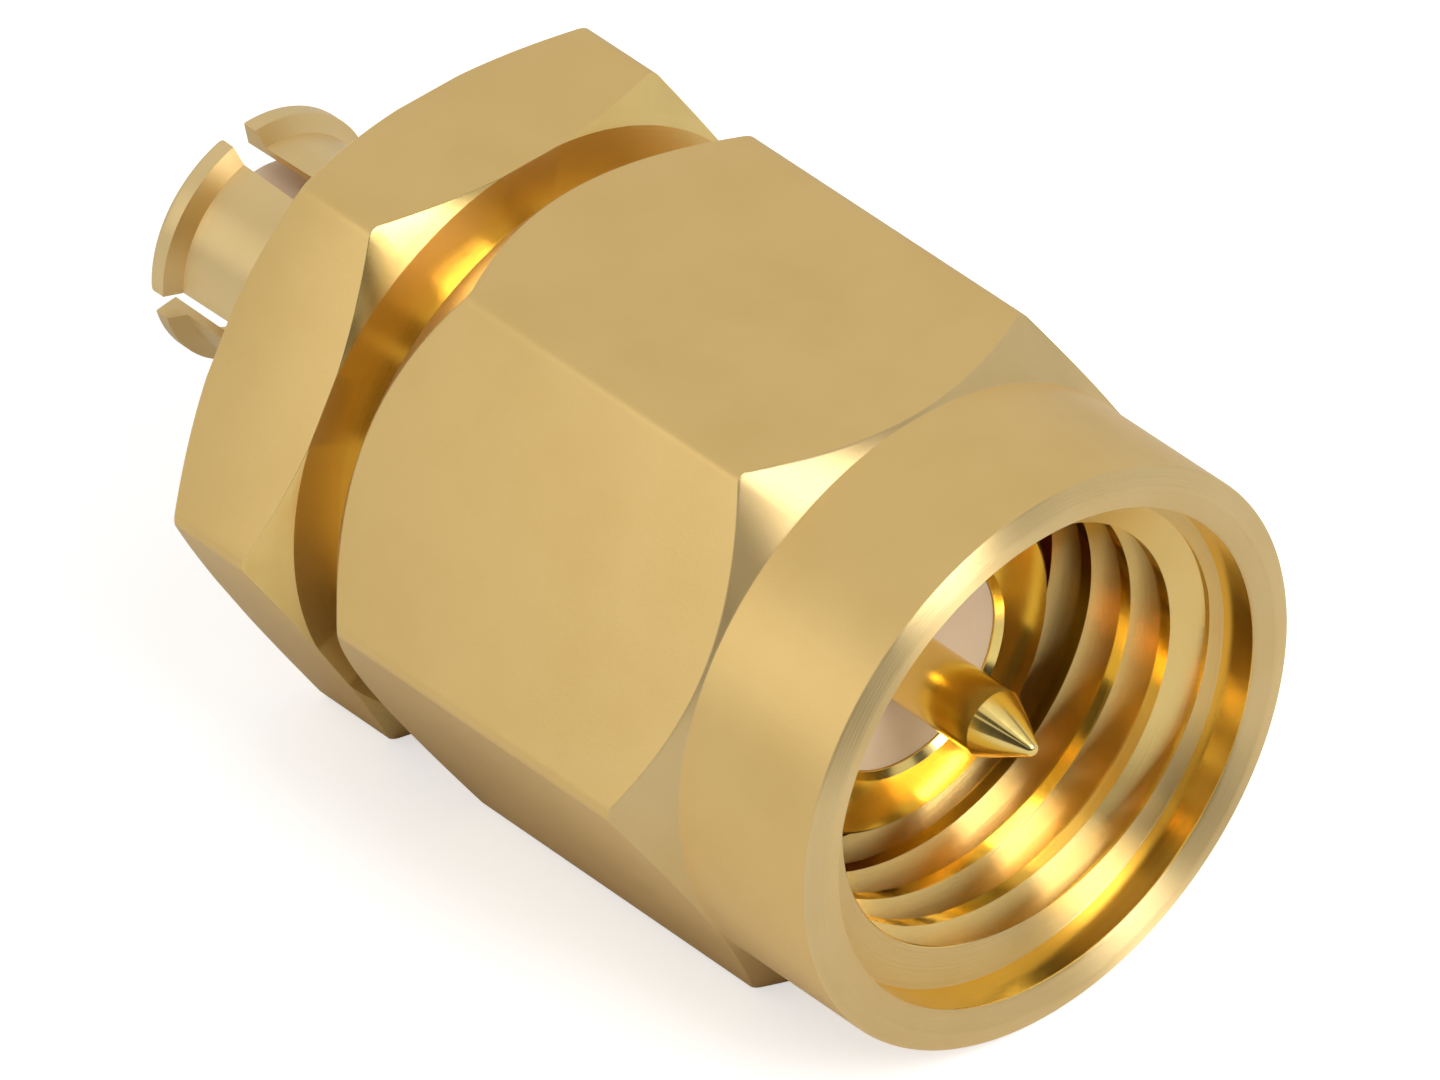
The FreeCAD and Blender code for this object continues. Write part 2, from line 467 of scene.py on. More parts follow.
def bump_node(tree: Tree, height: Socket, depth_mm: float, under: Socket | None = None) -> Socket:
    """Turn a height into a normal.

    Args:
        tree: the tree it goes in.
        height: the height, from 0 to 1.
        depth_mm: how far a height of 1 stands out.
        under: the normal that it lies over, where there is one.

    Returns:
        The normal's socket.
    """
    node = tree.nodes.new("ShaderNodeBump")
    node.inputs["Strength"].default_value = 1.0
    node.inputs["Distance"].default_value = depth_mm * MM
    tree.links.new(height, node.inputs["Height"])
    if under is not None:
        tree.links.new(under, node.inputs["Normal"])
    return node.outputs["Normal"]


def effect_node(tree: Tree, group: Tree, place: Socket, sizes: dict[str, float]) -> Node:
    """Place a shared effect in a material.

    Args:
        tree: the material's tree.
        group: the effect.
        place: the point where it is taken.
        sizes: input name to number, where it differs from the effect's own.

    Returns:
        The effect's node.
    """
    node = tree.nodes.new("ShaderNodeGroup")
    node.node_tree = group
    tree.links.new(place, node.inputs["Vector"])
    for name, number in sizes.items():
        node.inputs[name].default_value = number
    return node


class Effects:
    """The surface effects that more than one finish uses, built once."""

    def __init__(self) -> None:
        """Build both groups."""
        self.lathe_marks = self._lathe_marks()
        self.plating_grain = self._plating_grain()

    def _lathe_marks(self) -> Tree:
        """Make the fine rings that the turning tool leaves.

        Returns:
            The group, which gives a height and a mask of streaks.
        """
        group = new_group(
            "lathe_marks",
            {"Vector": ("NodeSocketVector", None), "Spacing mm": ("NodeSocketFloat", 0.05),
             "Waver": ("NodeSocketFloat", 0.4)},
            {"Height": "NodeSocketFloat", "Streak": "NodeSocketFloat"},
        )
        nodes, links = group.nodes, group.links
        entry, leave = nodes["in"], nodes["out"]
        split = nodes.new("ShaderNodeSeparateXYZ")
        links.new(entry.outputs["Vector"], split.inputs[0])
        y_square = math_node(group, "MULTIPLY", split.outputs[1], split.outputs[1])
        z_square = math_node(group, "MULTIPLY", split.outputs[2], split.outputs[2])
        radius = math_node(group, "SQRT", math_node(group, "ADD", y_square, z_square))
        along = math_node(group, "ADD", split.outputs[0], radius)
        along_mm = math_node(group, "MULTIPLY", along, 1 / MM)
        rings = math_node(group, "DIVIDE", along_mm, entry.outputs["Spacing mm"])
        drift = noise_node(group, entry.outputs["Vector"], DRIFT_SCALE, DRIFT_DETAIL)
        waver = math_node(group, "MULTIPLY", drift, entry.outputs["Waver"])
        cut = nodes.new("ShaderNodeTexNoise")
        cut.noise_dimensions = "1D"
        cut.inputs["Scale"].default_value = 1.0
        cut.inputs["Detail"].default_value = CUT_DETAIL
        cut.inputs["Roughness"].default_value = CUT_ROUGHNESS
        links.new(math_node(group, "ADD", rings, waver), cut.inputs["W"])
        links.new(cut.outputs["Fac"], leave.inputs["Height"])
        links.new(range_node(group, cut.outputs["Fac"], *STREAK_SPAN), leave.inputs["Streak"])
        return group

    def _plating_grain(self) -> Tree:
        """Make the fine frosted grain and the slow cloudiness of plated metal.

        Returns:
            The group, which gives the grain's height and the clouds.
        """
        group = new_group(
            "plating_grain",
            {"Vector": ("NodeSocketVector", None), "Grain mm": ("NodeSocketFloat", 0.04),
             "Cloud mm": ("NodeSocketFloat", 1.2)},
            {"Height": "NodeSocketFloat", "Cloud": "NodeSocketFloat"},
        )
        links = group.links
        entry, leave = group.nodes["in"], group.nodes["out"]
        for size, detail, result in (("Grain mm", 2.0, "Height"), ("Cloud mm", 4.0, "Cloud")):
            scale = math_node(group, "DIVIDE", 1 / MM, entry.outputs[size])
            links.new(noise_node(group, entry.outputs["Vector"], scale, detail), leave.inputs[result])
        return group


@dataclass(frozen=True)
class Finish(ABC):
    """What every surface has: two tones and a gloss. Each kind lays its own marks."""

    name: str
    tone: Tone
    deep_tone: Tone
    roughness: float

    def build(self, effects: Effects) -> Material:
        """Make the material.

        Args:
            effects: the shared node groups.

        Returns:
            The material.
        """
        material = bpy.data.materials.new(self.name)
        material.use_nodes = True
        tree = material.node_tree
        shader = tree.nodes["Principled BSDF"]
        place = tree.nodes.new("ShaderNodeTexCoord").outputs["Object"]
        tone, normal = self._lay(effects, tree, shader, place)
        tree.links.new(tone, shader.inputs["Base Color"])
        tree.links.new(normal, shader.inputs["Normal"])
        return material

    @abstractmethod
    def _lay(self, effects: Effects, tree: Tree, shader: Node, place: Socket) -> tuple[Socket, Socket]:
        """Set the shader's gloss and lay the surface's own marks.

        Args:
            effects: the shared node groups.
            tree: the material's tree.
            shader: its main shader.
            place: the point on the piece.

        Returns:
            The colour and the normal.
        """


@dataclass(frozen=True)
class GoldFinish(Finish):
    """One gold-plated surface: its gloss, its frost and the marks of the tool."""

    roughness_swing: float
    grain_mm: float
    grain_depth_mm: float
    ring_mm: float
    ring_depth_mm: float
    anisotropy: float

    def _lay(self, effects: Effects, tree: Tree, shader: Node, place: Socket) -> tuple[Socket, Socket]:
        """Lay the frost and the tool's rings, and stretch the gloss round the axis.

        Args:
            effects: the shared node groups.
            tree: the material's tree.
            shader: its main shader.
            place: the point on the piece.

        Returns:
            The colour and the normal.
        """
        shader.inputs["Metallic"].default_value = 1.0
        shader.inputs["Anisotropic"].default_value = self.anisotropy
        grain = effect_node(tree, effects.plating_grain, place, {"Grain mm": self.grain_mm})
        rings = effect_node(tree, effects.lathe_marks, place, {"Spacing mm": self.ring_mm})
        gloss = range_node(tree, rings.outputs["Streak"], 0.0, 1.0,
                           self.roughness - self.roughness_swing, self.roughness + self.roughness_swing)
        tree.links.new(gloss, shader.inputs["Roughness"])
        if self.anisotropy > 0:
            round_axis = tree.nodes.new("ShaderNodeVectorMath")
            round_axis.operation = "CROSS_PRODUCT"
            round_axis.inputs[1].default_value = (1, 0, 0)
            tree.links.new(place, round_axis.inputs[0])
            tree.links.new(round_axis.outputs[0], shader.inputs["Tangent"])
            shader.inputs["Anisotropic Rotation"].default_value = GLOSS_TURN
        clear = range_node(tree, grain.outputs["Cloud"], *CLOUD_SPAN)
        frost = bump_node(tree, grain.outputs["Height"], self.grain_depth_mm)
        grooves = bump_node(tree, rings.outputs["Height"], self.ring_depth_mm, frost)
        return tone_node(tree, clear, self.deep_tone, self.tone), grooves


@dataclass(frozen=True)
class SoftFinish(Finish):
    """A dull dielectric or rubber surface."""

    translucency: float
    ring_mm: float
    ring_depth_mm: float

    def _lay(self, effects: Effects, tree: Tree, shader: Node, place: Socket) -> tuple[Socket, Socket]:
        """Lay the tool's rings and let a little light shine in.

        Args:
            effects: the shared node groups.
            tree: the material's tree.
            shader: its main shader.
            place: the point on the piece.

        Returns:
            The colour and the normal.
        """
        shader.inputs["Roughness"].default_value = self.roughness
        shader.inputs["Subsurface Weight"].default_value = self.translucency
        shader.inputs["Subsurface Radius"].default_value = [reach * MM for reach in LIGHT_REACH]
        shader.inputs["Subsurface Scale"].default_value = 1.0
        grain = effect_node(tree, effects.plating_grain, place, {})
        rings = effect_node(tree, effects.lathe_marks, place, {"Spacing mm": self.ring_mm})
        grooves = bump_node(tree, rings.outputs["Height"], self.ring_depth_mm)
        return tone_node(tree, grain.outputs["Cloud"], self.deep_tone, self.tone), grooves


class Surface(Enum):
    """The finishes that the adapter's pieces show."""

    SATIN = GoldFinish("satin_gold", (0.855, 0.60, 0.235), (0.825, 0.57, 0.215),
                       0.40, 0.01, 0.05, 0.0016, 0.05, 0.0, 0.0)
    TURNED = GoldFinish("turned_gold", (0.95, 0.72, 0.35), (0.92, 0.68, 0.31),
                        0.43, 0.03, 0.05, 0.0003, 0.03, 0.0080, 1.0)
    BRIGHT = GoldFinish("bright_gold", (0.99, 0.74, 0.20), (0.97, 0.71, 0.18),
                        0.16, 0.02, 0.06, 0.0002, 0.10, 0.0003, 0.85)
    THREAD = GoldFinish("thread_gold", (0.95, 0.70, 0.27), (0.93, 0.67, 0.24),
                        0.25, 0.02, 0.05, 0.0002, 0.04, 0.0010, 1.0)
    CONTACT = GoldFinish("contact_gold", (0.96, 0.73, 0.25), (0.94, 0.70, 0.22),
                         0.14, 0.01, 0.06, 0.0001, 0.05, 0.0001, 0.60)
    FINGER = GoldFinish("finger_gold", (0.90, 0.68, 0.33), (0.87, 0.64, 0.29),
                        0.36, 0.04, 0.05, 0.0006, 0.06, 0.0008, 0.70)
    SPRING = GoldFinish("spring_metal", (0.80, 0.60, 0.33), (0.74, 0.54, 0.28),
                        0.30, 0.05, 0.05, 0.0010, 0.08, 0.0010, 0.0)
    DIELECTRIC = SoftFinish("dielectric_white", (0.88, 0.68, 0.49), (0.85, 0.65, 0.46),
                            0.45, 0.25, 0.08, 0.0020)
    RUBBER = SoftFinish("gasket_rubber", (0.42, 0.05, 0.025), (0.36, 0.04, 0.02),
                        0.62, 0.0, 0.3, 0.0020)


class Finishes:
    """Every surface's material, made once."""

    def __init__(self) -> None:
        """Build the shared effects and then each material."""
        effects = Effects()
        self._made = {surface: surface.value.build(effects) for surface in Surface}

    def dress(self, piece: Piece, *surfaces: Surface,
              choose: Callable[[Face], Surface] | None = None) -> None:
        """Give a piece its surfaces, face by face where it has more than one.

        Args:
            piece: the finished object, in metres.
            surfaces: the surfaces that it shows.
            choose: the surface of a face, or None where there is one surface.
        """
        piece.data.materials.clear()
        for surface in surfaces:
            piece.data.materials.append(self._made[surface])
        if choose is None:
            return
        mesh = bmesh.new()
        mesh.from_mesh(piece.data)
        mesh.normal_update()
        for face in mesh.faces:
            face.material_index = surfaces.index(choose(face))
        mesh.to_mesh(piece.data)
        mesh.free()


# The adapter's sub-assemblies, all sizes in millimetres


@dataclass
class HexagonStock:
    """Turned stock that is milled to a hexagon, with its long corners and creases broken."""

    across_flats: float = 8.0
    blank_radius: float = 4.75
    corner_round: float = 0.115
    corner_facets: int = 5
    corner_run: float = 0.5
    crease_break: float = 0.030
    crease_facets: int = 3
    crease_radius: float = 3.95
    crease_end_x: float = 1.54
    flat_slant: float = 0.02
    cone_slant: float = 0.3
    segments: int = 240

    def mill(self, blank: Piece) -> None:
        """Mill six flats, one of them facing down, and break the corners and creases.

        Args:
            blank: the turned blank, in millimetres.
        """
        with edit_mode(blank):
            for side in range(SIDES):
                angle = math.tau * side / SIDES
                normal = (0.0, math.sin(angle), math.cos(angle))
                bpy.ops.mesh.select_all(action="SELECT")
                bpy.ops.mesh.bisect(
                    plane_co=tuple(c * self.across_flats / 2 for c in normal), plane_no=normal,
                    use_fill=True, clear_outer=True,
                )
        bevel_edges(blank, self._is_long_corner, self.corner_round, self.corner_facets)
        bevel_edges(blank, self._is_crease, self.crease_break, self.crease_facets)

    def _is_long_corner(self, edge: Edge) -> bool:
        """Say whether an edge is one of the hexagon's long corners."""
        corner = self.across_flats / math.sqrt(3)
        return edge_radius(edge) > corner - NEAR and edge_run(edge) > self.corner_run

    def _is_crease(self, edge: Edge) -> bool:
        """Say whether an edge is where a flat or the collar runs out into a turned cone.

        Args:
            edge: an edge of the milled blank.

        Returns:
            True for such an edge.
        """
        slants = sorted(abs(face.normal.x) for face in edge.link_faces)
        outside = edge_radius(edge) > self.crease_radius and edge_x(edge) < self.crease_end_x
        return outside and slants[0] < self.flat_slant and slants[1] > self.cone_slant


@dataclass
class CouplingNut(HexagonStock):
    """The captive hexagon nut with its round collar, counterbore and inside thread."""

    rear_x: float = -6.03
    mouth_x: float = 2.54
    mouth_edge_x: float = 2.45
    mouth_ridge_radius: float = 3.70
    collar_radius: float = 3.97
    collar_rear_x: float = 0.205
    rear_rim_radius: float = 3.975
    rear_chamfer: float = math.radians(41.5)
    front_chamfer: float = math.radians(45)
    mouth_bore_radius: float = 3.40
    ledge_x: float = 1.90
    thread_minor_radius: float = 2.83
    thread_major_radius: float = 3.21
    thread_rear_x: float = -1.80
    thread_start_x: float = -2.22
    pitch: float = 0.7056
    thread_turns: int = 7
    thread_half_angle: float = math.radians(30)
    thread_tool_overlap: float = 0.2
    relief_radius: float = 3.35
    relief_rear_x: float = -3.10
    bore_radius: float = 3.25
    groove_x: tuple[float, float] = (-4.77, -4.23)
    groove_radius: float = 3.60
    rim_break: float = 0.035
    rim_facets: int = 3
    ledge_margin: float = 0.01
    bore_margin: float = 0.02

    def blank(self) -> Piece:
        """Turn the nut's section before any flat is milled.

        Returns:
            The turned blank.
        """
        rear_run = (self.blank_radius - self.rear_rim_radius) / math.tan(self.rear_chamfer)
        front_run = (self.blank_radius - self.collar_radius) / math.tan(self.front_chamfer)
        return turn("coupling_nut_body", [
            (self.rear_x, self.bore_radius),
            (self.rear_x, self.rear_rim_radius),
            (self.rear_x + rear_run, self.blank_radius),
            (self.collar_rear_x - front_run, self.blank_radius),
            (self.collar_rear_x, self.collar_radius),
            (self.mouth_edge_x, self.collar_radius),
            (self.mouth_x, self.mouth_ridge_radius),
            (self.mouth_edge_x, self.mouth_bore_radius),
            (self.ledge_x, self.mouth_bore_radius),
            (self.ledge_x, self.thread_minor_radius),
            (self.thread_rear_x, self.thread_minor_radius),
            (self.thread_rear_x, self.relief_radius),
            (self.relief_rear_x, self.relief_radius),
            (self.relief_rear_x, self.bore_radius),
            (self.groove_x[1], self.bore_radius),
            (self.groove_x[1], self.groove_radius),
            (self.groove_x[0], self.groove_radius),
            (self.groove_x[0], self.bore_radius),
        ], self.segments)

    def thread_tool(self) -> Piece:
        """Make the helical groove that the thread tool leaves, past both ends of the thread.

        Returns:
            The groove's volume.
        """
        root_half = self.pitch / 16
        inner_radius = self.thread_minor_radius - self.thread_tool_overlap
        climb = (self.thread_major_radius - inner_radius) * math.tan(self.thread_half_angle)
        mouth_half = root_half + climb
        start = self.thread_start_x
        return helix_tool([
            (start - mouth_half, inner_radius),
            (start - root_half, self.thread_major_radius),
            (start + root_half, self.thread_major_radius),
            (start + mouth_half, inner_radius),
        ], self.pitch, self.thread_turns, self.segments // 2)

    def make(self, finishes: Finishes) -> Piece:
        """Turn, mill, thread and dress the nut.

        Args:
            finishes: the materials.

        Returns:
            The nut.
        """
        nut = self.blank()
        self.mill(nut)
        mouth_corners = round_corners(beyond_x=self.ledge_x - self.ledge_margin)
        bevel_edges(nut, mouth_corners, self.rim_break, self.rim_facets)
        combine(nut, self.thread_tool())
        finish_piece(nut)
        finishes.dress(nut, Surface.SATIN, Surface.TURNED, Surface.BRIGHT, Surface.THREAD,
                       choose=self._surface_of)
        return nut

    def _surface_of(self, face: Face) -> Surface:
        """Pick turned at the mouth, the ledge and the front cone, and bright in the bores.

        The thread's flanks have a finish of their own, and the outside is satin.

        Args:
            face: a face of the finished nut.

        Returns:
            Its surface.
        """
        x, radius = face_place(face)
        if abs(face.normal.x) > self.cone_slant and x > self.thread_rear_x:
            in_front = x > self.ledge_x - self.ledge_margin or radius > self.mouth_bore_radius
            return Surface.TURNED if in_front else Surface.THREAD
        inside = radius < self.mouth_bore_radius + self.bore_margin
        return Surface.BRIGHT if inside else Surface.SATIN


@dataclass
class RetainingRing:
    """The split spring ring that keeps the nut on the body."""

    centre_x: float = -4.5
    thickness: float = 0.50
    inner_radius: float = 2.90
    outer_radius: float = 3.50
    gap_degrees: float = 36.0
    edge_break: float = 0.05
    corner_angle: float = math.radians(60)
    segments: int = 120

    def make(self, finishes: Finishes) -> Piece:
        """Turn the ring, open its gap and dress it.

        Args:
            finishes: the materials.

        Returns:
            The ring.
        """
        low = self.centre_x - self.thickness / 2
        high = self.centre_x + self.thickness / 2
        ring = turn("split_ring", [
            (low, self.inner_radius), (low, self.outer_radius),
            (high, self.outer_radius), (high, self.inner_radius),
        ], self.segments)
        half_gap = self.outer_radius * math.sin(math.radians(self.gap_degrees / 2))
        combine(ring, block((low - PAST, -half_gap, -2 * self.outer_radius),
                            (high + PAST, half_gap, 0)))
        bevel_edges(
            ring, lambda e: e.calc_face_angle(0.0) > self.corner_angle, self.edge_break, BREAK_FACETS)
        finish_piece(ring)
        finishes.dress(ring, Surface.SPRING)
        return ring


@dataclass
class ConnectorBody(HexagonStock):
    """The turned body: sleeve, journal with its ring groove, and hexagon flange."""

    sleeve_radius: float = 2.296
    bore_radius: float = 1.46
    sleeve_foot_x: float = -2.95
    journal_radius: float = 3.20
    ring_groove_x: tuple[float, float] = (-4.89, -4.11)
    ring_groove_radius: float = 2.80
    flange_front_x: float = -6.77
    flange_rear_x: float = -8.68
    flange_rim_radius: float = 4.025
    flange_chamfer: float = math.radians(30)
    face_slant: float = 0.4
    rear_bore_radius: float = 1.90
    rear_bore_x: float = -5.50
    sleeve_inner_break: float = 0.08
    sleeve_outer_break: float = 0.06
    sleeve_rim_x: float = -1.0
    front_margin: float = 0.001
    bore_margin: float = 0.01

    def make(self, finishes: Finishes) -> Piece:
        """Turn, mill and dress the body.

        Args:
            finishes: the materials.

        Returns:
            The body.
        """
        run = (self.blank_radius - self.flange_rim_radius) * math.tan(self.flange_chamfer)
        body = turn("connector_body", [
            (0.0, self.sleeve_radius - self.sleeve_outer_break),
            (-self.sleeve_outer_break, self.sleeve_radius),
            (self.sleeve_foot_x, self.sleeve_radius),
            (self.sleeve_foot_x, self.journal_radius),
            (self.ring_groove_x[1], self.journal_radius),
            (self.ring_groove_x[1], self.ring_groove_radius),
            (self.ring_groove_x[0], self.ring_groove_radius),
            (self.ring_groove_x[0], self.journal_radius),
            (self.flange_front_x, self.journal_radius),
            (self.flange_front_x, self.flange_rim_radius),
            (self.flange_front_x - run, self.blank_radius),
            (self.flange_rear_x + run, self.blank_radius),
            (self.flange_rear_x, self.flange_rim_radius),
            (self.flange_rear_x, self.rear_bore_radius),
            (self.rear_bore_x, self.rear_bore_radius),
            (self.rear_bore_x, self.bore_radius),
            (-self.sleeve_inner_break, self.bore_radius),
            (0.0, self.bore_radius + self.sleeve_inner_break),
        ], self.segments)
        self.mill(body)
        finish_piece(body)
        finishes.dress(body, Surface.SATIN, Surface.TURNED, Surface.BRIGHT, Surface.THREAD,
                       Surface.CONTACT, choose=self._surface_of)
        return body

    def _surface_of(self, face: Face) -> Surface:
        """Pick a polished rim on the sleeve, bright bores and journal, and a satin hexagon.

        The flange's cones are turned, the rear ones and the rear face more coarsely.

        Args:
            face: a face of the finished body.

        Returns:
            Its surface.
        """
        x, radius = face_place(face)
        if x > self.sleeve_rim_x:
            return Surface.CONTACT
        before_flange = x > self.flange_front_x + self.front_margin
        if before_flange or radius < self.rear_bore_radius + self.bore_margin:
            return Surface.BRIGHT
        if abs(face.normal.x) > self.face_slant:
            return Surface.TURNED if face.normal.x < 0 else Surface.THREAD
        return Surface.SATIN


@dataclass
class PushOnJack:
    """The pressed spring contact: shank, slotted fingers and locking lip."""

    shank_radius: float = 1.90
    shank_front_x: float = -5.50
    flange_rear_x: float = -8.68
    finger_outer_radius: float = 1.50
    finger_inner_radius: float = 1.38
    end_x: float = -12.15
    lip_radius: float = 1.71
    lip_length: float = 0.43
    lip_ramp: float = 0.145
    nose_round: float = 0.11
    nose_steps: int = 5
    end_break: float = 0.04
    root_fillet: float = 0.15
    fillet_steps: int = 4
    slot_mouth_break: float = 0.09
    slot_widths: tuple[float, float] = (0.33, 0.46)
    slot_length: float = 2.70
    saw_turns: tuple[float, float] = (math.radians(10), math.radians(97.5))
    saw_segments: int = 48
    sawn_edge_break: float = 0.012
    sawn_edge_angle: float = math.radians(50)
    segments: int = 160

    def make(self, finishes: Finishes) -> Piece:
        """Turn the contact, saw its slots and dress it.

        Args:
            finishes: the materials.

        Returns:
            The contact.
        """
        nose = [
            (self.end_x + self.nose_round * (1 - math.sin(a)),
             self.lip_radius - self.nose_round * (1 - math.cos(a)))
            for a in reversed(quarter_turn(self.nose_steps))
        ]
        fillet = [
            (self.flange_rear_x - self.root_fillet * (1 - math.sin(a)),
             self.finger_outer_radius + self.root_fillet * (1 - math.cos(a)))
            for a in quarter_turn(self.fillet_steps)
        ]
        ramp_end = self.end_x + self.lip_length
        contact = turn("spring_fingers", [
            (self.end_x + self.end_break, self.finger_inner_radius),
            (self.end_x, self.finger_inner_radius + self.end_break),
            *nose,
            (ramp_end - self.lip_ramp, self.lip_radius),
            (ramp_end, self.finger_outer_radius),
            *fillet,
            (self.flange_rear_x, self.shank_radius),
            (self.shank_front_x, self.shank_radius),
            (self.shank_front_x, self.finger_inner_radius),
        ], self.segments)
        for turn_angle in self.saw_turns:
            combine(contact, self._saw(turn_angle))
        bevel_edges(contact, self._is_sawn_edge, self.sawn_edge_break, BREAK_FACETS)
        finish_piece(contact)
        finishes.dress(contact, Surface.FINGER)
        return contact

    def _saw(self, angle: float) -> Piece:
        """Make one saw cut that opens two opposite slots, a little closed up at the lip.

        Args:
            angle: turn of the cut about the X axis from the vertical.

        Returns:
            The cut's volume.
        """
        reach = 2 * self.lip_radius
        end_half, foot_half = (width / 2 for width in self.slot_widths)
        foot_x = self.end_x + self.slot_length - foot_half
        cut = block((self.end_x - PAST, -foot_half, -reach), (foot_x, foot_half, reach))
        for vertex in cut.data.vertices:
            if vertex.co.x < self.end_x:
                vertex.co.y = math.copysign(end_half, vertex.co.y)
        deselect_all()
        bpy.ops.mesh.primitive_cylinder_add(
            vertices=self.saw_segments, radius=foot_half, depth=2 * reach, location=(foot_x, 0, 0))
        combine(cut, bpy.context.object, "UNION")
        side = (end_half + self.slot_mouth_break) / math.sqrt(2)
        mouth = block((-side, -side, -reach), (side, side, reach))
        mouth.data.transform(Matrix.Rotation(math.pi / 4, 4, "Z"))
        mouth.data.transform(Matrix.Translation((self.end_x, 0, 0)))
        combine(cut, mouth, "UNION")
        cut.data.transform(Matrix.Rotation(angle, 4, "X"))
        return cut

    def _is_sawn_edge(self, edge: Edge) -> bool:
        """Say whether an edge borders a slot."""
        sharp = edge.calc_face_angle(0.0) > self.sawn_edge_angle
        return sharp and edge_x(edge) < self.end_x + self.slot_length and edge_run(edge) > WELD


@dataclass
class CentreLine:
    """The centre contact and the two dielectrics that hold it."""

    pin_radius: float = 0.4575
    pin_reach: float = 2.24
    pin_cone: float = 0.74
    pin_nose: float = 0.11
    nose_steps: int = 8
    pin_point: float = 0.004
    pin_smooth_degrees: float = 20.0
    shank_radius: float = 0.485
    shank_lead: float = 0.055
    barb_radius: float = 0.60
    barb_x: tuple[float, float] = (-3.10, -2.30)
    socket_radius: float = 0.40
    socket_end_x: float = -12.05
    socket_bore: float = 0.20
    socket_depth: float = 1.90
    socket_mouth_break: float = 0.07
    socket_edge_break: float = 0.03
    drill_point: float = 0.005
    socket_slot: tuple[float, float] = (0.10, 1.50)
    front_x: float = -0.10
    joint_x: float = -5.50
    front_radius: float = 1.46
    rear_radius: float = 1.38
    rear_nose_radius: float = 1.06
    rear_nose_x: tuple[float, float] = (-11.93, -8.88)
    dielectric_break: float = 0.03
    dielectric_rim_radius: float = 1.0
    segments: int = 128

    def make_contact(self, finishes: Finishes) -> Piece:
        """Turn the pin and its socket, drill and slot the socket, and dress it.

        Args:
            finishes: the materials.

        Returns:
            The centre contact.
        """
        nose_x = self.pin_reach - self.pin_nose
        slope = math.atan2(self.pin_radius - self.pin_nose, self.pin_cone - self.pin_nose)
        nose = [
            (nose_x + self.pin_nose * math.sin(a), max(self.pin_nose * math.cos(a), self.pin_point))
            for a in (slope + (1 - slope / (math.pi / 2)) * b for b in quarter_turn(self.nose_steps))
        ]
        mouth_radius = self.socket_bore + self.socket_mouth_break
        contact = turn("centre_pin", [
            (self.socket_end_x, mouth_radius),
            (self.socket_end_x, self.socket_radius - self.socket_edge_break),
            (self.socket_end_x + self.socket_edge_break, self.socket_radius),
            (self.joint_x, self.socket_radius),
            (self.joint_x, self.shank_radius),
            (self.barb_x[0], self.shank_radius),
            (self.barb_x[0], self.barb_radius),
            (self.barb_x[1], self.shank_radius),
            (self.front_x - self.shank_lead, self.shank_radius),
            (self.front_x, self.pin_radius),
            (self.pin_reach - self.pin_cone, self.pin_radius),
            *nose,
        ], self.segments, bored=False)
        drill = turn("drill", [
            (self.socket_end_x - PAST, mouth_radius),
            (self.socket_end_x, mouth_radius),
            (self.socket_end_x + self.socket_mouth_break, self.socket_bore),
            (self.socket_end_x + self.socket_depth, self.socket_bore),
            (self.socket_end_x + self.socket_depth + self.socket_bore, self.drill_point),
        ], self.segments // 2, bored=False)
        combine(contact, drill)
        width, length = self.socket_slot
        reach = 2 * self.socket_radius
        combine(contact, block((self.socket_end_x - PAST, -reach, -width / 2),
                               (self.socket_end_x + length, reach, width / 2)))
        finish_piece(contact, self.pin_smooth_degrees)
        finishes.dress(contact, Surface.CONTACT)
        return contact

    def _dielectric(self, name: str, stations: Sequence[Station], finishes: Finishes) -> Piece:
        """Turn a dielectric, break its outer corners and dress it.

        Args:
            name: the object's name.
            stations: (x, radius) corners of its half section.
            finishes: the materials.

        Returns:
            The dielectric.
        """
        piece = turn(name, stations, self.segments)
        outer_rims = round_corners(self.dielectric_rim_radius)
        bevel_edges(piece, outer_rims, self.dielectric_break, BREAK_FACETS)
        finish_piece(piece)
        finishes.dress(piece, Surface.DIELECTRIC)
        return piece

    def make_front_dielectric(self, finishes: Finishes) -> Piece:
        """Make the dielectric round the pin.

        Args:
            finishes: the materials.

        Returns:
            The dielectric.
        """
        return self._dielectric("front_dielectric", [
            (self.joint_x, self.shank_radius),
            (self.joint_x, self.front_radius),
            (self.front_x, self.front_radius),
            (self.front_x, self.pin_radius),
            (self.front_x - self.shank_lead, self.shank_radius),
            (self.barb_x[1], self.shank_radius),
            (self.barb_x[0], self.barb_radius),
            (self.barb_x[0], self.shank_radius),
        ], finishes)

    def make_rear_dielectric(self, finishes: Finishes) -> Piece:
        """Make the dielectric inside the fingers.

        Args:
            finishes: the materials.

        Returns:
            The dielectric.
        """
        nose_end, nose_root = self.rear_nose_x
        return self._dielectric("rear_dielectric", [
            (nose_end, self.socket_radius),
            (nose_end, self.rear_nose_radius),
            (nose_root, self.rear_nose_radius),
            (nose_root, self.rear_radius),
            (self.joint_x, self.rear_radius),
            (self.joint_x, self.socket_radius),
        ], finishes)


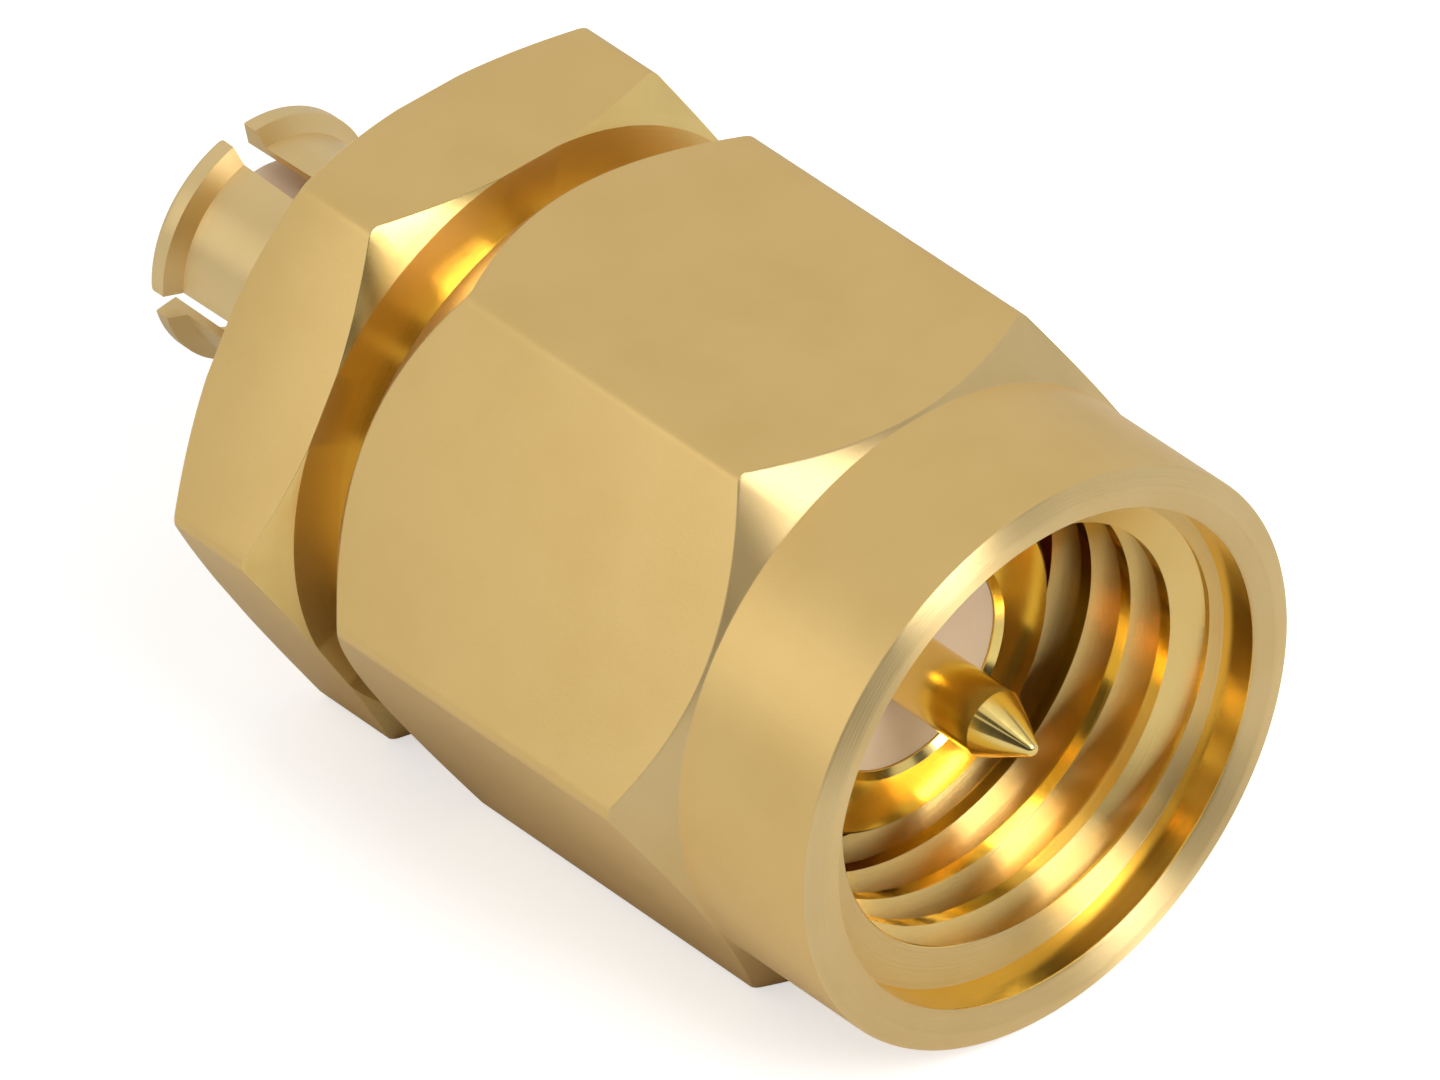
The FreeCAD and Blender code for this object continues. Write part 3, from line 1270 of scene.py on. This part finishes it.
@dataclass
class Gasket:
    """The sealing ring at the foot of the sleeve."""

    inner_radius: float = 2.296
    outer_radius: float = 3.10
    x: tuple[float, float] = (-2.95, -2.10)
    edge_round: float = 0.10
    round_facets: int = 4
    segments: int = 128

    def make(self, finishes: Finishes) -> Piece:
        """Mould the gasket and dress it.

        Args:
            finishes: the materials.

        Returns:
            The gasket.
        """
        ring = turn("seal_ring", [
            (self.x[0], self.inner_radius), (self.x[0], self.outer_radius),
            (self.x[1], self.outer_radius), (self.x[1], self.inner_radius),
        ], self.segments)
        front_rim = round_corners(self.outer_radius - NEAR, self.x[1] - NEAR)
        bevel_edges(ring, front_rim, self.edge_round, self.round_facets)
        finish_piece(ring)
        finishes.dress(ring, Surface.RUBBER)
        return ring


# The studio


@dataclass(frozen=True)
class DarkSector:
    """A dark strip of the room past the nut's mouth, between two angles about the axis.

    Angles are in degrees from straight up, growing towards +Y.
    """

    start: float
    end: float
    depth: float


@dataclass(frozen=True)
class SoftBox:
    """A soft light: the direction from the adapter to it, and millimetres."""

    name: str
    direction: tuple[float, float, float]
    distance: float
    size: tuple[float, float]
    radiance: float


@dataclass
class Studio:
    """The pale floor, the soft lights and the camera at the photograph's angle."""

    floor_z: float = -4.0
    floor_size: float = 2000.0
    floor_tone: float = 0.75
    floor_glow: float = 0.58
    aim_x: float = -3.46
    azimuth: float = math.radians(48.927)
    elevation: float = math.radians(38.322)
    roll: float = math.radians(-1.586)
    lens: float = 610.8
    sensor: float = 36.0
    pixels_per_mm: float = 81.843
    clip_range: tuple[float, float] = (0.1, 4.0)
    room_level: float = 0.84
    ahead: tuple[float, float] = (0.10, 0.35)
    sector_softness: float = 2.0
    dark_sectors: tuple[DarkSector, ...] = (
        DarkSector(-97, -53, 0.93), DarkSector(-47, -33, 0.90), DarkSector(25, 38, 0.85),
    )
    soft_boxes: tuple[SoftBox, ...] = (
        SoftBox("key", (0.724, -0.036, 0.69), 130.0, (56.0, 78.0), 6.4),
        SoftBox("side", (-0.35, -0.85, 0.45), 160.0, (90.0, 90.0), 0.5),
    )

    def build(self) -> None:
        """Lay the floor, hang the lights and set the camera."""
        self._floor()
        self._world()
        for box in self.soft_boxes:
            self._hang(box)
        self._camera()
        bpy.context.scene.view_settings.view_transform = "Standard"

    def _floor(self) -> None:
        """Lay a plain pale floor that keeps the adapter's shadow."""
        deselect_all()
        bpy.ops.mesh.primitive_plane_add(size=self.floor_size * MM, location=(0, 0, self.floor_z * MM))
        floor = bpy.context.object
        floor.name = "floor"
        material = bpy.data.materials.new("floor_white")
        material.use_nodes = True
        tree = material.node_tree
        tree.nodes.clear()
        paint = tree.nodes.new("ShaderNodeBsdfDiffuse")
        paint.inputs["Color"].default_value = (*[self.floor_tone] * 3, 1)
        glow = tree.nodes.new("ShaderNodeEmission")
        path = tree.nodes.new("ShaderNodeLightPath")
        level = math_node(tree, "MULTIPLY", path.outputs["Is Camera Ray"], self.floor_glow)
        tree.links.new(level, glow.inputs["Strength"])
        total = tree.nodes.new("ShaderNodeAddShader")
        tree.links.new(paint.outputs[0], total.inputs[0])
        tree.links.new(glow.outputs[0], total.inputs[1])
        out = tree.nodes.new("ShaderNodeOutputMaterial")
        tree.links.new(total.outputs[0], out.inputs["Surface"])
        floor.data.materials.append(material)

    def _world(self) -> None:
        """Make the room: white to the camera, soft grey with a darker corner to the metal."""
        world = bpy.data.worlds.new("studio")
        bpy.context.scene.world = world
        world.use_nodes = True
        tree = world.node_tree
        tree.nodes.clear()
        out = tree.nodes.new("ShaderNodeOutputWorld")
        back = tree.nodes.new("ShaderNodeBackground")
        path = tree.nodes.new("ShaderNodeLightPath")
        split = tree.nodes.new("ShaderNodeSeparateXYZ")
        tree.links.new(tree.nodes.new("ShaderNodeTexCoord").outputs["Generated"], split.inputs[0])
        angle = math_node(tree, "ARCTAN2", split.outputs[1], split.outputs[2])
        ahead = range_node(tree, split.outputs[0], *self.ahead, kind="SMOOTHSTEP")
        room = self.room_level
        for sector in self.dark_sectors:
            entered, stayed = (
                range_node(tree, angle, math.radians(edge - soft), math.radians(edge + soft),
                           kind="SMOOTHSTEP")
                for edge, soft in ((sector.start, self.sector_softness),
                                   (sector.end, -self.sector_softness))
            )
            inside = math_node(tree, "MULTIPLY", math_node(tree, "MULTIPLY", entered, stayed), ahead)
            shade = math_node(tree, "MULTIPLY", inside, sector.depth)
            room = math_node(tree, "MULTIPLY", math_node(tree, "SUBTRACT", 1.0, shade), room)
        level = tree.nodes.new("ShaderNodeMix")
        level.data_type = "FLOAT"
        level.inputs[NUMBER_B].default_value = 1.0
        tree.links.new(path.outputs["Is Camera Ray"], level.inputs[0])
        tree.links.new(room, level.inputs[NUMBER_A])
        tree.links.new(level.outputs[NUMBER_OUT], back.inputs["Strength"])
        tree.links.new(back.outputs[0], out.inputs["Surface"])

    def _hang(self, box: SoftBox) -> None:
        """Hang a soft box that looks at the adapter.

        Args:
            box: the soft light.
        """
        data = bpy.data.lights.new(box.name, "AREA")
        data.shape = "RECTANGLE"
        data.size, data.size_y = (side * MM for side in box.size)
        data.energy = box.radiance * math.pi * data.size * data.size_y
        light = bpy.data.objects.new(box.name, data)
        bpy.context.scene.collection.objects.link(light)
        away = Vector(box.direction).normalized()
        light.location = Vector((self.aim_x * MM, 0, 0)) + away * box.distance * MM
        light.rotation_mode = "QUATERNION"
        light.rotation_quaternion = (-away).to_track_quat("-Z", "Y")

    def _camera(self) -> None:
        """Set the camera at the photograph's viewing angle and scale."""
        data = bpy.data.cameras.new("camera")
        data.sensor_width = self.sensor
        data.lens = self.lens
        camera = bpy.data.objects.new("camera", data)
        bpy.context.scene.collection.objects.link(camera)
        back = Vector((
            math.sin(self.azimuth) * math.cos(self.elevation),
            -math.cos(self.azimuth) * math.cos(self.elevation),
            math.sin(self.elevation),
        ))
        focal_pixels = self.lens / self.sensor * PHOTO_WIDTH
        distance = focal_pixels / self.pixels_per_mm
        camera.location = (Vector((self.aim_x, 0, 0)) + back * distance) * MM
        camera.rotation_mode = "QUATERNION"
        facing = (-back).to_track_quat("-Z", "Y")
        camera.rotation_quaternion = facing @ Matrix.Rotation(self.roll, 4, "Z").to_quaternion()
        data.clip_start, data.clip_end = (share * distance * MM for share in self.clip_range)
        bpy.context.scene.camera = camera


def report(piece: Piece, body: str, node: str) -> None:
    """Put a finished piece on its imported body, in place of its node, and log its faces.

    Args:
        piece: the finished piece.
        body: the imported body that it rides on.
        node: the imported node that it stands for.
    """
    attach(piece, body)
    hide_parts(node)
    LOG.info("%s stands for %s on %s: %d faces", piece.name, node, body, len(piece.data.polygons))


def main() -> None:
    """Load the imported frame, make every piece and set the studio."""
    logging.basicConfig(level=logging.INFO, format="%(message)s")
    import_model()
    finishes = Finishes()
    centre = CentreLine()
    report(CouplingNut().make(finishes), "nut", "coupling_nut")
    report(RetainingRing().make(finishes), "snap_ring", "retaining_ring")
    report(ConnectorBody().make(finishes), "core", "main_body")
    report(Gasket().make(finishes), "core", "gasket")
    report(PushOnJack().make(finishes), "core", "smp_outer_contact")
    report(centre.make_contact(finishes), "core", "center_contact")
    report(centre.make_front_dielectric(finishes), "core", "front_insulator")
    report(centre.make_rear_dielectric(finishes), "core", "rear_insulator")
    Studio().build()


if __name__ == "__main__":
    main()
